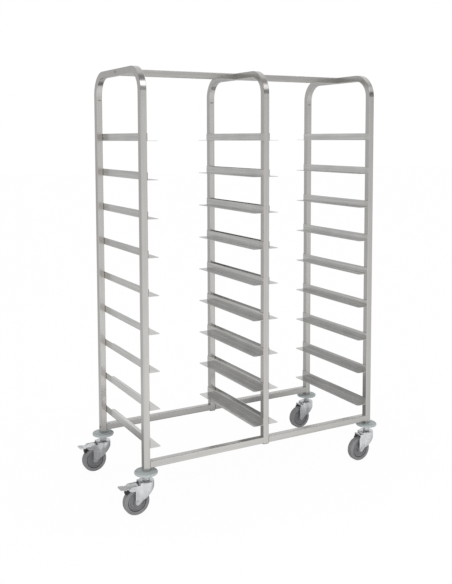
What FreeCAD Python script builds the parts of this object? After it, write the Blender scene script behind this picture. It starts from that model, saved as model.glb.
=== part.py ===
import FreeCAD, Part
import math
import os
import Sketcher

# Double-bay trolley for dishwasher baskets. X runs across both bays, Y from front to back, Z up,
# with the floor at Z 0 and the origin under the middle of the middle frame.

# Driving sizes, in millimetres and degrees: name, value, meaning.
SIZES = (
    ("frame_spacing", 540, "middle to middle of neighbouring upright frames"),
    ("frame_depth", 472, "middle to middle of a frame's front and rear legs"),
    ("total_height", 1723, "floor to the top of the frames"),
    ("tube_side", 26.5, "outside of the square tube"),
    ("tube_wall", 1.5, "wall of the square tube"),
    ("tube_corner", 2.5, "outer corner radius of the square tube"),
    ("bend_radius", 84, "top bends of a frame, on the tube's middle line"),
    ("rail_lift", 12, "underside of the bottom rails above the corner feet"),
    ("middle_foot_drop", 1, "middle legs below the underside of the rails"),
    ("plug_lip", 3, "lip of the plug under a middle leg"),
    ("insert_gap", 1.5, "plug and stem below the frame bolt in the leg"),
    ("insert_play", 0.05, "plug to tube wall"),
    ("top_tier_height", 1437, "floor to the underside of the highest runners"),
    ("lowest_tier_gap", 51.5, "underside of the lowest runners above the bottom rails"),
    ("runner_web", 30, "height of a runner's upright web"),
    ("runner_flange", 46, "reach of a runner's flange from the leg"),
    ("runner_sheet", 1.5, "sheet of a runner"),
    ("runner_bend", 1.5, "inner radius of a runner's fold"),
    ("runner_corner", 9, "rounding of a flange's free corners"),
    ("bolt_radius", 3, "shank of a frame bolt"),
    ("bolt_play", 0.2, "frame bolt to its hole in a leg"),
    ("bolt_grip", 0.05, "frame bolt to its hole in an end plate"),
    ("bolt_head_radius", 6, "head of a frame bolt"),
    ("bolt_head_height", 3.5, "head of a frame bolt"),
    ("bolt_tail", 5, "bolt past the end plate"),
    ("end_plate", 3, "welded plate in the bolted end of a rail"),
    ("castor_height", 163, "floor to the foot of a corner leg"),
    ("bumper_radius", 46, "bumper disc"),
    ("bumper_height", 10, "bumper disc"),
    ("bumper_edge", 4, "rounding of the bumper disc"),
    ("stem_radius", 6, "stem through fork, bumper and plug"),
    ("stem_play", 0.05, "stem to fork and bumper"),
    ("stem_head_radius", 11, "riveted head under the fork's roof"),
    ("stem_head_height", 4, "riveted head under the fork's roof"),
    ("stem_head_play", 0.4, "riveted head to the fork's roof"),
    ("stem_neck_radius", 12, "neck between race and bumper"),
    ("race_radius", 15, "race plate over the balls"),
    ("race_height", 3, "race plate over the balls"),
    ("ball_radius", 2, "swivel ball"),
    ("ball_ring", 12, "circle that the balls run on"),
    ("ball_play", 0.3, "ball to race plate and to fork"),
    ("fork_top", 127, "roof of a fork above the floor"),
    ("fork_step", 8.5, "trailing part of a fork below its roof"),
    ("fork_sheet", 2.5, "pressed sheet of a fork"),
    ("fork_roof", 3, "roof of a fork"),
    ("fork_head_radius", 31, "round head of a fork"),
    ("fork_half_width", 22, "outside of a fork leg from the wheel's middle"),
    ("fork_end_radius", 9.5, "rounded lower end of a fork leg"),
    ("fork_lean", 43, "slope of a fork's leading edge"),
    ("fork_tab", 16, "plate behind the head of a plain fork"),
    ("fork_tab_height", 9, "folded sides of that plate"),
    ("trail", 43, "axle behind the stem"),
    ("wheel_radius", 52, "tyre tread"),
    ("tyre_width", 27, "tyre"),
    ("tyre_shoulder", 6, "rounding of the tread's edges"),
    ("tyre_seat", 35, "hub rim inside the tyre"),
    ("seat_play", 0.05, "hub rim to tyre"),
    ("hub_width", 22, "face to face of the hub disc"),
    ("hub_boss_radius", 14, "boss round the axle"),
    ("hub_recess", 3, "dished ring in the hub's faces"),
    ("hub_rim", 5, "rim of the hub outside the dished ring"),
    ("side_play", 0.3, "hub boss to a fork leg"),
    ("axle_radius", 6, "axle"),
    ("axle_play", 0.05, "axle to hub and to fork"),
    ("axle_head_radius", 7.5, "axle head and nut"),
    ("axle_head_height", 2.5, "axle head and nut"),
    ("pivot_reach", 66, "brake pin behind the stem"),
    ("pivot_height", 109, "brake pin above the floor"),
    ("pin_radius", 3, "brake pin"),
    ("pin_play", 0.05, "brake pin to pedal and ears"),
    ("pin_head_radius", 5, "ends of the brake pin"),
    ("pin_head_height", 2, "ends of the brake pin"),
    ("ear_radius", 9.5, "ear of a braked fork round the pin"),
    ("pedal_half_width", 18, "pedal"),
    ("pedal_sheet", 2.5, "pressed sheet of the pedal"),
    ("pedal_root", 40, "front end of the pedal behind the stem"),
    ("pedal_tip", 112, "free end of the pedal behind the stem"),
    ("pedal_bend", 88, "crease of the pedal behind the stem"),
    ("pedal_rise", 12, "pedal's root above the pin"),
    ("pedal_bend_rise", 4, "pedal's crease above the pin"),
    ("pedal_tip_rise", 7, "pedal's free end above the pin"),
    ("tread_half_width", 22, "broad end of the pedal for the foot"),
    ("tread_corner", 8, "rounding of the pedal's free corners"),
    ("pedal_lug", 8, "pedal's side lugs below and beside the pin"),
    ("shoe_half_width", 12, "brake shoe"),
    ("shoe_front", 70, "front face of the shoe behind the stem"),
    ("shoe_length", 17, "brake shoe, along the pedal"),
    ("shoe_gap", 4.5, "released shoe to the tread"),
)

# Counts.
TIERS = 9
BALLS_PER_RACE = 12

doc = FreeCAD.newDocument("basket_trolley")
dim = doc.addObject("Spreadsheet::Sheet", "dim")
for row, (alias, value, meaning) in enumerate(SIZES, start=1):
    dim.set("A%d" % row, meaning)
    dim.set("B%d" % row, str(value))
    dim.setAlias("B%d" % row, alias)
guess = doc.addObject("Spreadsheet::Sheet", "guess")
doc.recompute()

# Places and sizes that follow from the driving ones.
HALF_TUBE = "dim.tube_side/2"
HALF_DEPTH = "dim.frame_depth/2"
TOP_LINE = "(dim.total_height - dim.tube_side/2)"
RAIL_LINE = "(dim.castor_height + dim.rail_lift + dim.tube_side/2)"
MIDDLE_FOOT = "(dim.castor_height + dim.rail_lift - dim.middle_foot_drop)"
RAIL_LENGTH = "(dim.frame_spacing - dim.tube_side)"
LOWEST_TIER = "(dim.castor_height + dim.rail_lift + dim.tube_side + dim.lowest_tier_gap)"
TIER_PITCH = "((dim.top_tier_height - %s)/%d)" % (LOWEST_TIER, TIERS - 1)
RUNNER_LENGTH = "(dim.frame_depth + dim.tube_side)"
INSERT_DEPTH = "(dim.rail_lift + dim.tube_side/2 - dim.bolt_radius - dim.insert_gap)"
PLUG_HALF = "(dim.tube_side/2 - dim.tube_wall - dim.insert_play)"
PLUG_CORNER = "(dim.tube_corner - dim.tube_wall)"
BUMPER_BOTTOM = "(dim.castor_height - dim.bumper_height)"
FORK_INSIDE = "(dim.fork_half_width - dim.fork_sheet)"
FORK_SHOULDER = "(dim.fork_top - dim.fork_step)"
FORK_NOSE = "(dim.fork_head_radius + dim.fork_sheet)"
FORK_TAB_END = "-(dim.fork_head_radius + dim.fork_tab)"
LEG_BACK = "-(dim.trail + dim.fork_end_radius)"
PEDAL_SLOPE = "((dim.pedal_bend_rise - dim.pedal_rise)/(dim.pedal_bend - dim.pedal_root))"
SHOE_REACH = "(dim.wheel_radius + dim.shoe_gap)"

# Frame bolts of an end frame, in Y and Z.
BOLT_SPOTS = (("-" + HALF_DEPTH, RAIL_LINE), (HALF_DEPTH, RAIL_LINE), ("0", TOP_LINE))

# Corners: name, side in X, side in Y, with a brake or not.
CORNERS = (
    ("front_left", -1, -1, True),
    ("front_right", 1, -1, False),
    ("rear_left", -1, 1, True),
    ("rear_right", 1, 1, False),
)

nodes = []


def number(expression):
    """Value of a sheet expression, the first guess for a sketch's point."""
    guess.set("A1", "=" + expression)
    guess.recompute()
    return float(guess.get("A1"))


def keep(node, label):
    """Give a finished sub-part its name and put it on the list."""
    node.Label = label
    nodes.append(node)
    return node


def place(thing, x="0", y="0", z="0"):
    """Tie an object's place to the sheet."""
    for axis, expression in (("x", x), ("y", y), ("z", z)):
        thing.setExpression("Placement.Base." + axis, expression)


def new_body(name):
    return doc.addObject("PartDesign::Body", name)


def sketch_on(body, role, name, lift=None):
    """A sketch on one of the body's own planes, lifted along the plane's normal."""
    plane = [feature for feature in body.Origin.OriginFeatures if feature.Role == role][0]
    sketch = body.newObject("Sketcher::SketchObject", name)
    sketch.AttachmentSupport = [(plane, "")]
    sketch.MapMode = "FlatFace"
    if lift is not None:
        sketch.setExpression("AttachmentOffset.Base.z", lift)
    return sketch


def tie(sketch, kind, parts, expression):
    """Add a dimension to a sketch and bind it to the sheet."""
    index = sketch.addConstraint(Sketcher.Constraint(kind, *parts, number(expression)))
    sketch.setExpression("Constraints[%d]" % index, expression)


def arc_between(start, stop, radius, turn):
    """Arc of less than half a circle, turning left for turn 1 and right for turn -1."""
    chord = stop - start
    rise = math.sqrt(max(radius ** 2 - (chord.Length / 2) ** 2, 0))
    left = FreeCAD.Vector(-chord.y, chord.x, 0).normalize()
    centre = (start + stop) / 2 + left * rise * turn
    first, last = (start, stop) if turn > 0 else (stop, start)
    angles = [math.atan2(spot.y - centre.y, spot.x - centre.x) for spot in (first, last)]
    if angles[1] < angles[0]:
        angles[1] += 2 * math.pi
    circle = Part.Circle(centre, FreeCAD.Vector(0, 0, 1), radius)
    return Part.ArcOfCircle(circle, angles[0], angles[1])


def outline(sketch, points, arcs=None, closed=True):
    """Lines through points bound to the sheet; arcs maps a run to its radius and turn."""
    arcs = arcs or {}
    spots = [FreeCAD.Vector(number(x), number(y), 0) for x, y in points]
    runs = len(points) if closed else len(points) - 1
    ends = []
    for run in range(runs):
        start = spots[run]
        stop = spots[(run + 1) % len(spots)]
        if run in arcs:
            radius, turn = arcs[run]
            index = sketch.addGeometry(arc_between(start, stop, number(radius), turn))
            ends.append((index, 1, 2) if turn > 0 else (index, 2, 1))
        else:
            index = sketch.addGeometry(Part.LineSegment(start, stop))
            ends.append((index, 1, 2))
    joins = runs if closed else runs - 1
    for run in range(joins):
        here = ends[run]
        after = ends[(run + 1) % runs]
        sketch.addConstraint(Sketcher.Constraint("Coincident", here[0], here[2], after[0], after[1]))
    for spot, (x, y) in enumerate(points):
        geometry, first, last = ends[min(spot, runs - 1)]
        corner = (geometry, first if spot < runs else last)
        tie(sketch, "DistanceX", (-1, 1) + corner, x)
        tie(sketch, "DistanceY", (-1, 1) + corner, y)
    for run, (radius, turn) in arcs.items():
        tie(sketch, "Radius", (ends[run][0],), radius)


def rounded_square(sketch, half, corner, x="0", y="0"):
    """Square with rounded corners round the point x, y."""
    flat = "(%s - %s)" % (half, corner)
    signs = ((flat, half, 1, -1), (half, flat, 1, -1), (half, flat, 1, 1), (flat, half, 1, 1),
             (flat, half, -1, 1), (half, flat, -1, 1), (half, flat, -1, -1), (flat, half, -1, -1))
    points = [("%s + %d*%s" % (x, side, across), "%s + %d*%s" % (y, end, along))
              for across, along, side, end in signs]
    outline(sketch, points, {run: (corner, 1) for run in (0, 2, 4, 6)})


def tube_section(sketch, x="0", y="0"):
    """Section of the square tube, outside and bore."""
    rounded_square(sketch, "dim.tube_side/2", "dim.tube_corner", x, y)
    rounded_square(sketch, "(dim.tube_side/2 - dim.tube_wall)", PLUG_CORNER, x, y)


def pad(body, sketch, length):
    feature = body.newObject("PartDesign::Pad", "Pad")
    feature.Profile = sketch
    feature.setExpression("Length", length)
    return feature


def turned(name, points, arcs=None):
    """Body turned round Z from an outline of radius and height."""
    body = new_body(name)
    sketch = sketch_on(body, "XZ_Plane", name + "_section")
    outline(sketch, points, arcs)
    feature = body.newObject("PartDesign::Revolution", "Turn")
    feature.Profile = sketch
    feature.ReferenceAxis = (sketch, ["V_Axis"])
    feature.Angle = 360
    return body


def slab(name, points, half_width, arcs=None):
    """Body of a side outline in X and Z, as thick as twice half_width about Y 0."""
    body = new_body(name)
    sketch = sketch_on(body, "XZ_Plane", name + "_side", "-(%s)" % half_width)
    outline(sketch, points, arcs)
    pad(body, sketch, "2*(%s)" % half_width)
    return body


def rod(name, radius, length, x="0", y="0", z="0", along="z"):
    """Round rod from a point, along one axis."""
    thing = doc.addObject("Part::Cylinder", name)
    thing.setExpression("Radius", radius)
    thing.setExpression("Height", length)
    turns = {"x": FreeCAD.Rotation(FreeCAD.Vector(0, 1, 0), 90),
             "y": FreeCAD.Rotation(FreeCAD.Vector(1, 0, 0), -90),
             "z": FreeCAD.Rotation()}
    thing.Placement = FreeCAD.Placement(FreeCAD.Vector(), turns[along])
    place(thing, x, y, z)
    return thing


def block(name, low, size):
    """Box from its low corner and its three sizes."""
    thing = doc.addObject("Part::Box", name)
    for side, expression in zip(("Length", "Width", "Height"), size):
        thing.setExpression(side, expression)
    place(thing, *low)
    return thing


def joined(name, pieces):
    thing = doc.addObject("Part::MultiFuse", name)
    thing.Shapes = pieces
    return thing


def cut(name, base, tool):
    thing = doc.addObject("Part::Cut", name)
    thing.Base = base
    thing.Tool = tool
    return thing


def group(label, pieces):
    """One node that holds several separate solids."""
    thing = doc.addObject("Part::Compound", label)
    thing.Links = pieces
    return keep(thing, label)


def bent_frame(label, x, foot):
    """Inverted U of square tube with legs down to foot."""
    body = new_body(label + "_tube")
    section = sketch_on(body, "XY_Plane", label + "_section", foot)
    tube_section(section, "0", "-" + HALF_DEPTH)
    path = sketch_on(body, "YZ_Plane", label + "_path")
    low_bend = "%s - dim.bend_radius" % TOP_LINE
    near_bend = "%s - dim.bend_radius" % HALF_DEPTH
    points = (("-" + HALF_DEPTH, foot), ("-" + HALF_DEPTH, low_bend), ("-(%s)" % near_bend, TOP_LINE),
              (near_bend, TOP_LINE), (HALF_DEPTH, low_bend), (HALF_DEPTH, foot))
    outline(path, points, {1: ("dim.bend_radius", -1), 3: ("dim.bend_radius", -1)}, closed=False)
    pipe = body.newObject("PartDesign::AdditivePipe", "Pipe")
    pipe.Profile = section
    doc.recompute()
    pipe.Spine = (path, ["Edge%d" % edge for edge in range(1, len(points))])
    place(body, x)
    return body


def bolted_frame(label, side):
    """End frame with holes across its legs and its top for the frame bolts."""
    x = "%d*dim.frame_spacing" % side
    body = bent_frame(label, x, "dim.castor_height")
    start = "%s - dim.tube_side" % x
    radius = "dim.bolt_radius + dim.bolt_play"
    holes = []
    for y, z in BOLT_SPOTS:
        holes.append(rod(label + "_hole", radius, "2*dim.tube_side", start, y, z, "x"))
    return keep(cut(label, body, joined(label + "_holes", holes)), label)


def cross_tube(label, bay, y, z):
    """Straight tube across one bay, with a drilled plate in the end at the end frame."""
    body = new_body(label + "_tube")
    section = sketch_on(body, "YZ_Plane", label + "_section", "-%s/2" % RAIL_LENGTH)
    tube_section(section)
    pad(body, section, RAIL_LENGTH)
    plate_start = "-%s/2" % RAIL_LENGTH if bay < 0 else "%s/2 - dim.end_plate" % RAIL_LENGTH
    plate = sketch_on(body, "YZ_Plane", label + "_plate", plate_start)
    rounded_square(plate, "(dim.tube_side/2 - dim.tube_wall)", PLUG_CORNER)
    pad(body, plate, "dim.end_plate")
    place(body, "%d*dim.frame_spacing/2" % bay, y, z)
    end = "%d*(dim.frame_spacing - dim.tube_side/2 - dim.end_plate/2) - dim.end_plate" % bay
    hole = rod(label + "_hole", "dim.bolt_radius + dim.bolt_grip", "2*dim.end_plate", end, y, z, "x")
    return keep(cut(label, body, hole), label)


def runner(name, frame, side, tier):
    """L-shaped runner on a frame's leg faces; its flange points to side."""
    fold = "(dim.runner_bend + dim.runner_sheet)"
    sheet = "dim.runner_sheet"
    section = ((fold, "0"), ("dim.runner_flange", "0"), ("dim.runner_flange", sheet), (fold, sheet),
               (sheet, fold), (sheet, "dim.runner_web"), ("0", "dim.runner_web"), ("0", fold))
    points = [("%d*%s" % (side, across), height) for across, height in section]
    body = slab(name, points, RUNNER_LENGTH + "/2", {3: ("dim.runner_bend", -side), 7: (fold, side)})
    doc.recompute()
    folded = body.Tip
    tip = number("%d*dim.runner_flange" % side)
    edges = []
    for index, edge in enumerate(folded.Shape.Edges, start=1):
        upright = abs(edge.BoundBox.ZLength - edge.Length) < 1e-6
        if upright and abs(edge.CenterOfMass.x - tip) < 1e-6:
            edges.append("Edge%d" % index)
    fillet = body.newObject("PartDesign::Fillet", "Corners")
    fillet.Base = (folded, edges)
    fillet.setExpression("Radius", "dim.runner_corner")
    place(body, "%d*dim.frame_spacing + %d*%s" % (frame, side, HALF_TUBE), "0",
          "dim.top_tier_height - %d*%s" % (tier - 1, TIER_PITCH))
    return body


def bolt(name, side, y, z):
    """Frame bolt from an end frame's outer face into the plate of a cross tube."""
    length = "(dim.tube_side + dim.end_plate + dim.bolt_tail)"
    head = "dim.bolt_head_height"
    dome = "(dim.bolt_head_radius^2 + dim.bolt_head_height^2)/(2*dim.bolt_head_height)"
    points = (("0", "-" + length), ("dim.bolt_radius", "-" + length), ("dim.bolt_radius", "0"),
              ("dim.bolt_head_radius", "0"), ("0", head))
    body = turned(name, points, {3: (dome, 1)})
    body.Placement = FreeCAD.Placement(FreeCAD.Vector(), FreeCAD.Rotation(FreeCAD.Vector(0, 1, 0), 90 * side))
    place(body, "%d*(dim.frame_spacing + %s)" % (side, HALF_TUBE), y, z)
    return body


def leg_insert(name, x, y):
    """Plug in the foot of a corner leg, bored for the stem."""
    body = new_body(name + "_plug")
    sketch = sketch_on(body, "XY_Plane", name + "_section", "dim.castor_height")
    rounded_square(sketch, PLUG_HALF, PLUG_CORNER)
    pad(body, sketch, INSERT_DEPTH)
    place(body, x, y)
    bore = rod(name + "_bore", "dim.stem_radius + dim.stem_play", INSERT_DEPTH, x, y, "dim.castor_height")
    return cut(name, body, bore)


def foot_plug(name, y):
    """Plug with a lip that closes the foot of a middle leg."""
    body = new_body(name)
    lip = sketch_on(body, "XY_Plane", name + "_lip", "%s - dim.plug_lip" % MIDDLE_FOOT)
    rounded_square(lip, HALF_TUBE, "dim.tube_corner")
    pad(body, lip, "dim.plug_lip")
    plug = sketch_on(body, "XY_Plane", name + "_section", MIDDLE_FOOT)
    rounded_square(plug, PLUG_HALF, PLUG_CORNER)
    pad(body, plug, INSERT_DEPTH)
    place(body, "0", y)
    return body


def bumper(label, x, y):
    """Disc under a corner leg, with rounded edges and a hole for the stem."""
    edge = "dim.bumper_edge"
    hole = "dim.stem_radius + dim.stem_play"
    inner = "dim.bumper_radius - " + edge
    bottom = BUMPER_BOTTOM
    top = "dim.castor_height"
    points = ((hole, bottom), (inner, bottom), ("dim.bumper_radius", "%s + %s" % (bottom, edge)),
              ("dim.bumper_radius", "%s - %s" % (top, edge)), (inner, top), (hole, top))
    body = turned(label, points, {1: (edge, 1), 3: (edge, 1)})
    place(body, x, y)
    return keep(body, label)


def stem(label, x, y):
    """Stem with its riveted head, race plate and neck; the fork turns on it."""
    head_top = "(dim.fork_top - dim.fork_roof - dim.stem_head_play)"
    head_bottom = "(%s - dim.stem_head_height)" % head_top
    race_bottom = "(dim.fork_top + 2*dim.ball_radius + 2*dim.ball_play)"
    race_top = "(%s + dim.race_height)" % race_bottom
    end = "dim.castor_height + " + INSERT_DEPTH
    radius = "dim.stem_radius"
    points = (("0", head_bottom), ("dim.stem_head_radius", head_bottom), ("dim.stem_head_radius", head_top),
              (radius, head_top), (radius, race_bottom), ("dim.race_radius", race_bottom),
              ("dim.race_radius", race_top), ("dim.stem_neck_radius", race_top),
              ("dim.stem_neck_radius", BUMPER_BOTTOM), (radius, BUMPER_BOTTOM), (radius, end), ("0", end))
    body = turned(label, points)
    place(body, x, y)
    return keep(body, label)


def swivel_balls(name, x, y):
    """Ring of balls between the fork's roof and the race plate."""
    balls = []
    for index in range(BALLS_PER_RACE):
        ball = doc.addObject("Part::Sphere", name)
        ball.setExpression("Radius", "dim.ball_radius")
        angle = 360.0 * index / BALLS_PER_RACE
        place(ball, "%s + dim.ball_ring*cos(%s)" % (x, angle), "%s + dim.ball_ring*sin(%s)" % (y, angle),
              "dim.fork_top + dim.ball_radius + dim.ball_play")
        balls.append(ball)
    return balls


def leg_end(back):
    """Lower end of a fork leg: points and arcs from the back edge round the axle to the leading edge."""
    radius = "dim.fork_end_radius"
    lead_x = "(%s*sin(dim.fork_lean) - dim.trail)" % radius
    lead_z = "(dim.wheel_radius - %s*cos(dim.fork_lean))" % radius
    nose_z = "%s + (%s - %s)*tan(dim.fork_lean)" % (lead_z, FORK_NOSE, lead_x)
    points = [(LEG_BACK, "dim.wheel_radius"), ("-dim.trail", "dim.wheel_radius - " + radius),
              (lead_x, lead_z), (FORK_NOSE, nose_z)]
    arcs = {back: (radius, 1), back + 1: (radius, 1)}
    return points, arcs


def fork_side(braked):
    """Side outline of a fork: roof, trailing ears or plate, leg and sloped leading edge."""
    points = [(FORK_NOSE, "dim.fork_top"), ("-dim.fork_head_radius", "dim.fork_top")]
    if braked:
        pin_x = "-dim.pivot_reach"
        ear = "dim.ear_radius"
        points += [("-dim.fork_head_radius", "dim.pivot_height + %s" % ear),
                   (pin_x, "dim.pivot_height + %s" % ear), ("%s - %s" % (pin_x, ear), "dim.pivot_height"),
                   (pin_x, "dim.pivot_height - %s" % ear), (LEG_BACK, "dim.pivot_height - %s" % ear)]
        arcs = {3: (ear, 1), 4: (ear, 1)}
    else:
        points += [("-dim.fork_head_radius", FORK_SHOULDER), (FORK_TAB_END, FORK_SHOULDER),
                   (FORK_TAB_END, "%s - dim.fork_tab_height" % FORK_SHOULDER),
                   (LEG_BACK, "%s - 2*dim.fork_tab_height" % FORK_SHOULDER)]
        arcs = {}
    end_points, end_arcs = leg_end(len(points))
    arcs.update(end_arcs)
    return points + end_points, arcs


def fork(label, x, y, braked):
    """Pressed fork: round head, flat legs, open behind, bored for stem, axle and brake pin."""
    points, arcs = fork_side(braked)
    side = slab(label + "_side", points, "dim.fork_head_radius", arcs)
    reach = "2*(dim.trail + dim.wheel_radius)"
    inside = "(dim.fork_head_radius - dim.fork_sheet)"
    hollow_top = "(dim.fork_top - dim.fork_roof)"
    outer = joined(label + "_outer", [
        rod(label + "_head", "dim.fork_head_radius", "dim.fork_top"),
        block(label + "_legs", ("-" + reach, "-dim.fork_half_width", "0"),
              (reach, "2*dim.fork_half_width", "dim.fork_top"))])
    inner = joined(label + "_inner", [
        rod(label + "_bowl", inside, hollow_top),
        block(label + "_gap", ("-" + reach, "-" + FORK_INSIDE, "0"),
              (reach, "2*" + FORK_INSIDE, hollow_top))])
    walls = cut(label + "_walls", outer, inner)
    if not braked:
        plate_bottom = "%s - dim.fork_roof" % FORK_SHOULDER
        plate = block(label + "_plate", (FORK_TAB_END, "-dim.fork_half_width", plate_bottom),
                      ("dim.fork_tab", "2*dim.fork_half_width", "dim.fork_roof"))
        walls = joined(label + "_plated", [walls, plate])
    pressed = doc.addObject("Part::MultiCommon", label + "_pressed")
    pressed.Shapes = [walls, side]
    across = "2*dim.fork_head_radius"
    holes = [rod(label + "_stem_hole", "dim.stem_radius + dim.stem_play", "2*dim.fork_top"),
             rod(label + "_axle_hole", "dim.axle_radius + dim.axle_play", across,
                 "-dim.trail", "-dim.fork_head_radius", "dim.wheel_radius", "y")]
    if braked:
        holes.append(rod(label + "_pin_hole", "dim.pin_radius + dim.pin_play", across,
                         "-dim.pivot_reach", "-dim.fork_head_radius", "dim.pivot_height", "y"))
    thing = cut(label, pressed, joined(label + "_holes", holes))
    place(thing, x, y)
    return keep(thing, label)


def cross_pin(label, x, y, z, radius, head_radius, head_height):
    """Pin through both fork legs, with a round head at each end."""
    half = "dim.fork_half_width"
    far = "(dim.fork_half_width + %s)" % head_height
    points = (("0", "-" + far), (head_radius, "-" + far), (head_radius, "-" + half), (radius, "-" + half),
              (radius, half), (head_radius, half), (head_radius, far), ("0", far))
    body = turned(label, points)
    body.Placement = FreeCAD.Placement(FreeCAD.Vector(), FreeCAD.Rotation(FreeCAD.Vector(1, 0, 0), 90))
    place(body, x, y, z)
    return keep(body, label)


def wheel_piece(label, x, y, points, arcs=None):
    """Round piece of a wheel, turned about the axle."""
    body = turned(label, points, arcs)
    body.Placement = FreeCAD.Placement(FreeCAD.Vector(), FreeCAD.Rotation(FreeCAD.Vector(1, 0, 0), 90))
    place(body, x, y, "dim.wheel_radius")
    return keep(body, label)


def hub(label, x, y):
    """Wheel centre with its boss, dished faces and rim."""
    bore = "dim.axle_radius + dim.axle_play"
    boss = "(%s - dim.side_play)" % FORK_INSIDE
    face = "dim.hub_width/2"
    dish = "(dim.hub_width/2 - dim.hub_recess)"
    rim = "(dim.tyre_seat - dim.hub_rim)"
    right = ((bore, boss), ("dim.hub_boss_radius", boss), ("dim.hub_boss_radius", dish), (rim, dish),
             (rim, face), ("dim.tyre_seat", face))
    left = [(radius, "-" + height) for radius, height in reversed(right)]
    wheel_piece(label, x, y, list(right) + left)


def tyre(label, x, y):
    """Tyre with rounded shoulders."""
    half = "dim.tyre_width/2"
    seat = "dim.tyre_seat + dim.seat_play"
    shoulder = "dim.tyre_shoulder"
    tread = "dim.wheel_radius"
    points = ((seat, "-" + half), ("%s - %s" % (tread, shoulder), "-" + half),
              (tread, "-%s + %s" % (half, shoulder)), (tread, "%s - %s" % (half, shoulder)),
              ("%s - %s" % (tread, shoulder), half), (seat, half))
    wheel_piece(label, x, y, points, {1: (shoulder, 1), 3: (shoulder, 1)})


def pedal_line(reach, drop="0"):
    """Height of the pedal's upper face between root and crease, at a distance behind the stem, less drop."""
    return "dim.pivot_height + dim.pedal_rise + (%s - dim.pedal_root)*%s - %s" % (reach, PEDAL_SLOPE, drop)


def pedal_tread(name):
    """Broad end of the pedal behind its crease, with rounded free corners."""
    bend = "-dim.pedal_bend"
    tip = "-dim.pedal_tip"
    tip_top = "dim.pivot_height + dim.pedal_tip_rise"
    half = "dim.tread_half_width"
    corner = "dim.tread_corner"
    sheet = ((bend, pedal_line("dim.pedal_bend")), (tip, tip_top), (tip, tip_top + " - dim.pedal_sheet"),
             (bend, pedal_line("dim.pedal_bend", "dim.pedal_sheet")))
    side = slab(name + "_sheet", sheet, half)
    plan = new_body(name + "_plan")
    sketch = sketch_on(plan, "XY_Plane", name + "_outline")
    outline(sketch, ((bend, "-" + half), (bend, half), ("%s + %s" % (tip, corner), half),
                     (tip, "%s - %s" % (half, corner)), (tip, "%s - %s" % (corner, half)),
                     ("%s + %s" % (tip, corner), "-" + half)), {2: (corner, 1), 4: (corner, 1)})
    pad(plan, sketch, "2*dim.pivot_height")
    thing = doc.addObject("Part::MultiCommon", name)
    thing.Shapes = [side, plan]
    return thing


def brake_pedal(label, x, y):
    """Channel-shaped pedal with side lugs on the brake pin and a broad end."""
    lug = "dim.pedal_lug"
    low = "dim.pivot_height - " + lug
    skirt = "(dim.pivot_reach + 2*dim.pedal_lug)"
    root = "-dim.pedal_root"
    bend = "-dim.pedal_bend"
    outer = ((root, pedal_line("dim.pedal_root")), (bend, pedal_line("dim.pedal_bend")),
             (bend, pedal_line("dim.pedal_bend", "dim.pedal_sheet")),
             ("-" + skirt, pedal_line(skirt, "dim.pedal_sheet")),
             ("-dim.pivot_reach - dim.pedal_lug", low), ("%s - dim.pivot_reach" % lug, low),
             (root, pedal_line("dim.pedal_root", "3*dim.pedal_sheet")))
    over = "2*dim.pedal_sheet"
    near = "(dim.pedal_root - %s)" % over
    inner = (("-" + near, pedal_line(near, "dim.pedal_sheet")),
             (bend, pedal_line("dim.pedal_bend", "dim.pedal_sheet")),
             (bend, low + " - " + over), ("-" + near, low + " - " + over))
    shell = slab(label + "_outer", outer, "dim.pedal_half_width")
    hollow = slab(label + "_inner", inner, "dim.pedal_half_width - dim.pedal_sheet")
    channel = cut(label + "_channel", shell, hollow)
    hole = rod(label + "_hole", "dim.pin_radius + dim.pin_play", "4*dim.pedal_half_width",
               "-dim.pivot_reach", "-2*dim.pedal_half_width", "dim.pivot_height", "y")
    thing = cut(label, joined(label + "_pressed", [channel, pedal_tread(label + "_tread")]), hole)
    place(thing, x, y)
    keep(thing, label)


def brake_shoe(label, x, y):
    """Shoe under the pedal, its lower face cut to follow the tread."""
    front = "dim.shoe_front"
    back = "(dim.shoe_front + dim.shoe_length)"
    upper = [("-" + reach, pedal_line(reach, "dim.pedal_sheet")) for reach in (front, back)]
    lower = [("-" + reach, "dim.wheel_radius + sqrt(%s^2 - (%s - dim.trail)^2)" % (SHOE_REACH, reach))
             for reach in (back, front)]
    body = slab(label, upper + lower, "dim.shoe_half_width", {2: (SHOE_REACH, -1)})
    place(body, x, y)
    keep(body, label)


# Upright frames.
bolted_frame("left_end_frame", -1)
keep(bent_frame("middle_frame", "0", MIDDLE_FOOT), "middle_frame")
bolted_frame("right_end_frame", 1)

# Ties and rails of the two bays, and the runners of every tier.
for bay_name, bay in (("left", -1), ("right", 1)):
    cross_tube(bay_name + "_top_tie", bay, "0", TOP_LINE)
    cross_tube("front_%s_rail" % bay_name, bay, "-" + HALF_DEPTH, RAIL_LINE)
    cross_tube("rear_%s_rail" % bay_name, bay, HALF_DEPTH, RAIL_LINE)
    left_frame = min(bay, 0)
    for tier in range(1, TIERS + 1):
        label = "%s_bay_runners_%d" % (bay_name, tier)
        group(label, [runner(label + "_left", left_frame, 1, tier),
                      runner(label + "_right", left_frame + 1, -1, tier)])

# Frame bolts at the rails and ties.
bolts = []
for side in (-1, 1):
    for y, z in BOLT_SPOTS:
        bolts.append(bolt("bolt", side, y, z))
group("frame_bolts", bolts)

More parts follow.
